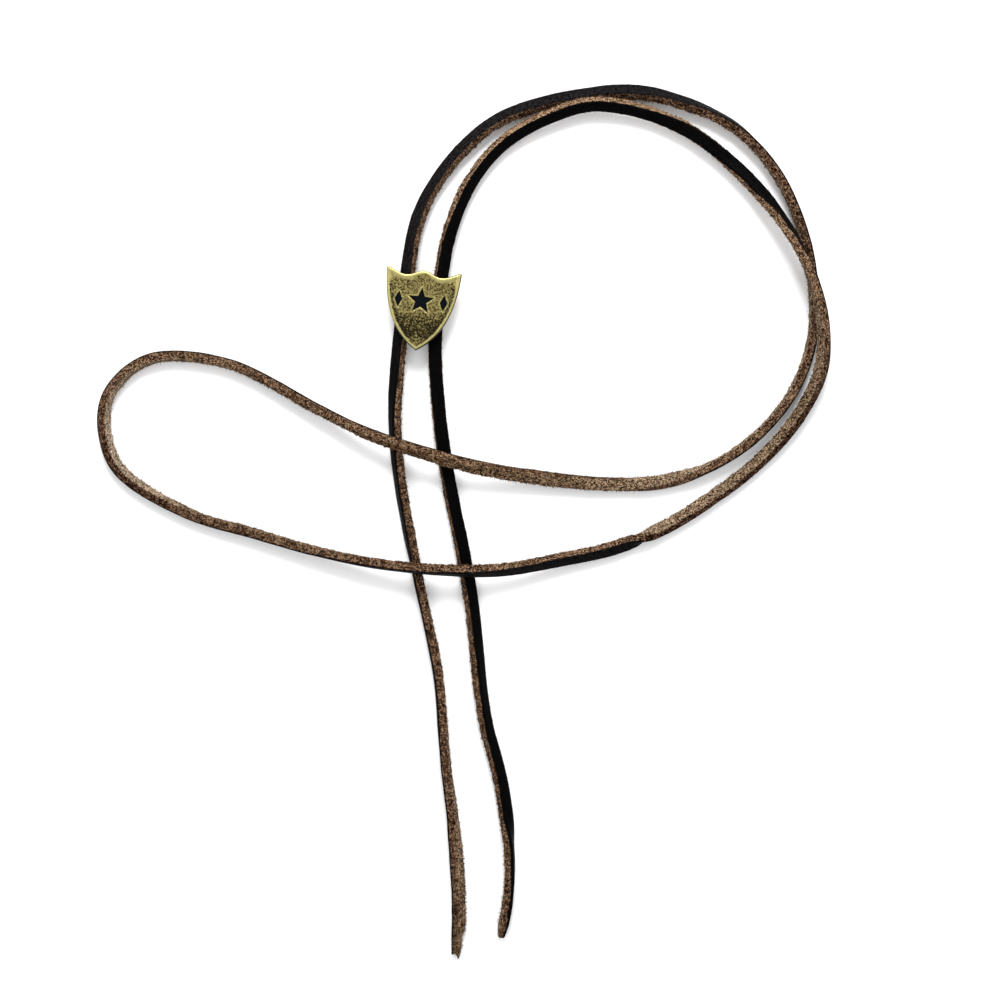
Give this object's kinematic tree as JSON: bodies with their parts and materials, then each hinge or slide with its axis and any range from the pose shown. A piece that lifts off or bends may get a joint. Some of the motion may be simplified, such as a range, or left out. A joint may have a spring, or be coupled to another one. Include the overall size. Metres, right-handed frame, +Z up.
{
  "type": "leather pendant necklace",
  "caption": "Long square-cut leather lace doubled through an engraved shield-shaped brass slide, lying flat with its neck loop crossed over both tails.",
  "frame": {"origin": "on the surface that the necklace lies on, under the middle of the slide's box", "axes": "+Y towards the shield's top edge, +X to its right, +Z up off the surface, out of the shield's engraved face"},
  "size_m": [0.1788, 0.2202, 0.0083],
  "materials": {
    "lace_leather": "smooth black grain face, dark brown cut sides, lighter rough flesh side",
    "antique_brass": "cast, with dark patina in the field and a bright rubbed rim",
    "plain_brass": "plain, dull"
  },
  "bodies": {
    "root": {"lace": "lace_leather", "shield": "antique_brass", "back_clip": "plain_brass"}
  },
  "joints": []
}
